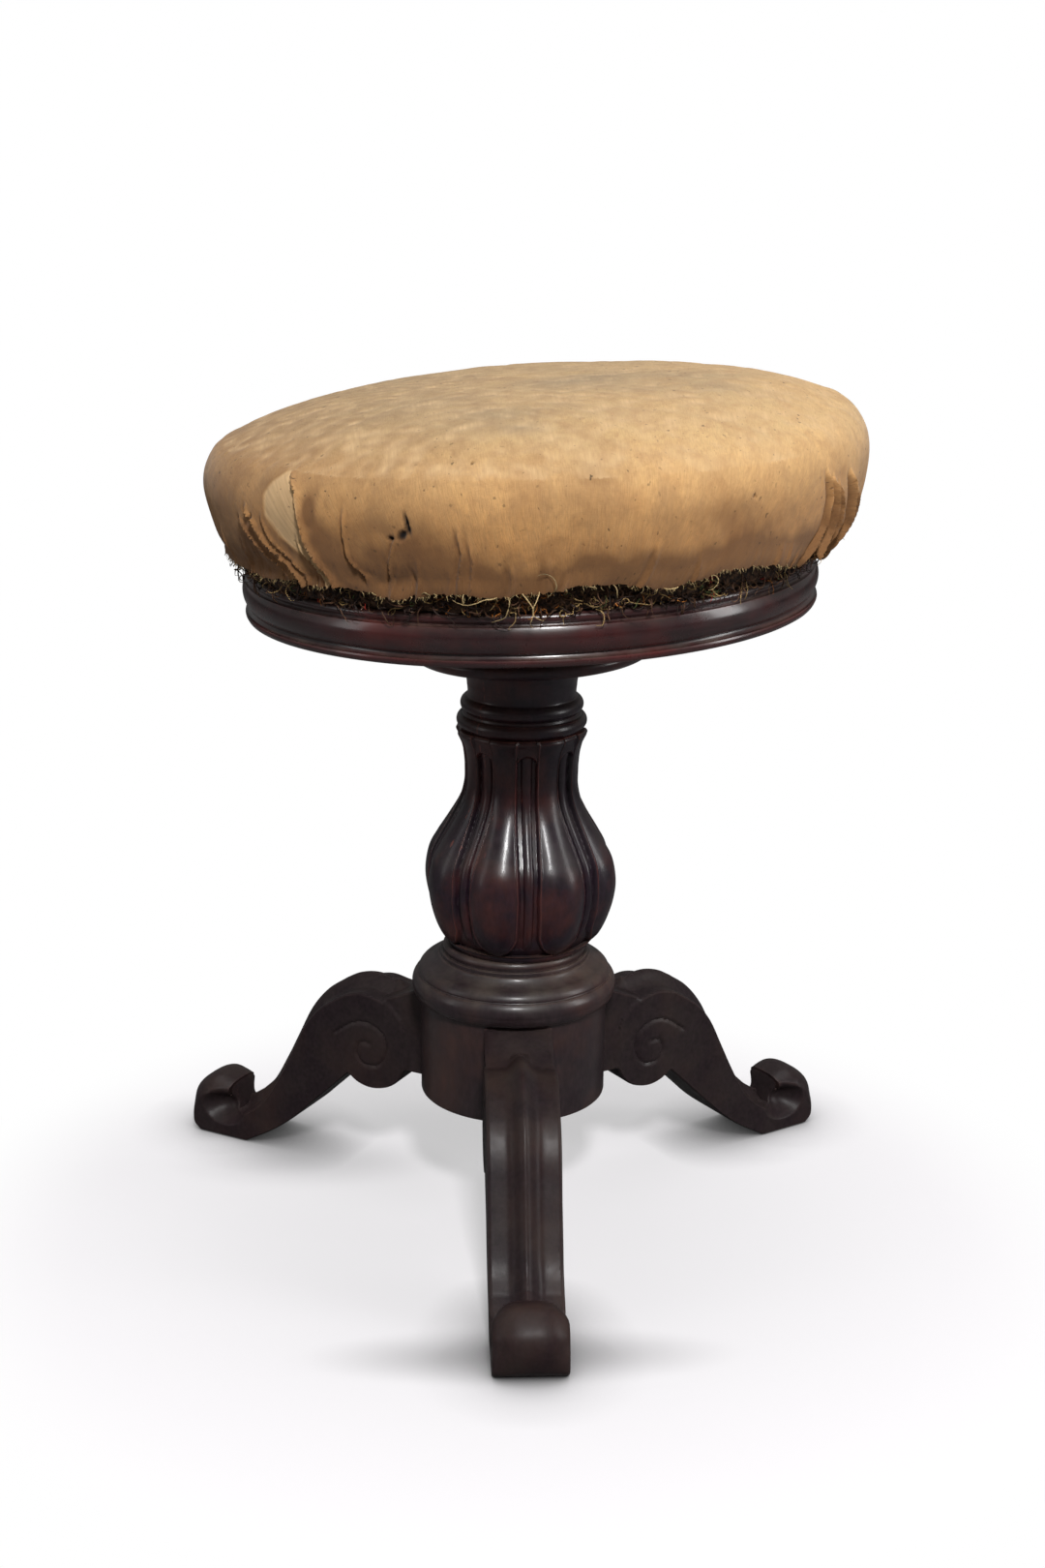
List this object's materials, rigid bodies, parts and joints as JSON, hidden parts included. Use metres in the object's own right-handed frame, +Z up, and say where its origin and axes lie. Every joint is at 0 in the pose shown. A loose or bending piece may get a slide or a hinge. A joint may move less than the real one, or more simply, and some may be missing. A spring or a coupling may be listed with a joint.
{
  "type": "piano stool",
  "caption": "Turned mahogany piano stool: stuffed round seat on a lifting screw, carved baluster column and scroll legs.",
  "frame": {"origin": "middle of the stool's overall width and depth, on the floor", "axes": "+Z up, the front leg points along -Y, +X to the right seen from the front"},
  "size_m": [0.4302, 0.4284, 0.5204],
  "materials": {
    "polished_mahogany": "dark glossy french polish, worn to red-brown on the high edges",
    "rail_mahogany": "glossy dark red-brown polish with fine scratches",
    "leg_mahogany": "dull brown-black polish with dusty grey edges",
    "beech": "raw turned beech",
    "pine": "raw sawn pine, darkened with age",
    "iron": "dark oiled iron",
    "steel_screws": "dull steel",
    "washer_leather": "hard oiled leather",
    "horsehair": "curled dark horsehair mixed with coloured waste fibre",
    "cotton_cover": "worn tan cotton with stains, creases and a frayed hem"
  },
  "bodies": {
    "base": {"leg_drum": "polished_mahogany", "column": "polished_mahogany", "screw_nut": "iron", "nut_screws": "steel_screws", "front_leg": "leg_mahogany", "right_leg": "leg_mahogany", "left_leg": "leg_mahogany", "leg_dowels": "beech"},
    "washer": {"thrust_washer": "washer_leather"},
    "seat": {"lifting_screw": "iron", "stop_pin": "iron", "seat_boss": "polished_mahogany", "screw_plate": "iron", "plate_screws": "steel_screws", "seat_board": "pine", "seat_rail": "rail_mahogany", "cover_tacks": "steel_screws", "edge_roll": "horsehair", "stuffing": "horsehair", "seat_cover": "cotton_cover"}
  },
  "joints": [
    {"name": "seat_rise", "type": "slide", "parent": "base", "child": "washer", "axis": [0, 0, 1], "range_m": [0, 0.088]},
    {"name": "seat_turn", "type": "hinge", "parent": "washer", "child": "seat", "pos_m": [0.003, 0.02175, 0.35], "axis": [0, 0, 1], "range_deg": [0, 3958]}
  ],
  "couplings": [
    {"joint": "seat_rise", "follows": "seat_turn", "m_per_rad": 0.0012732}
  ]
}
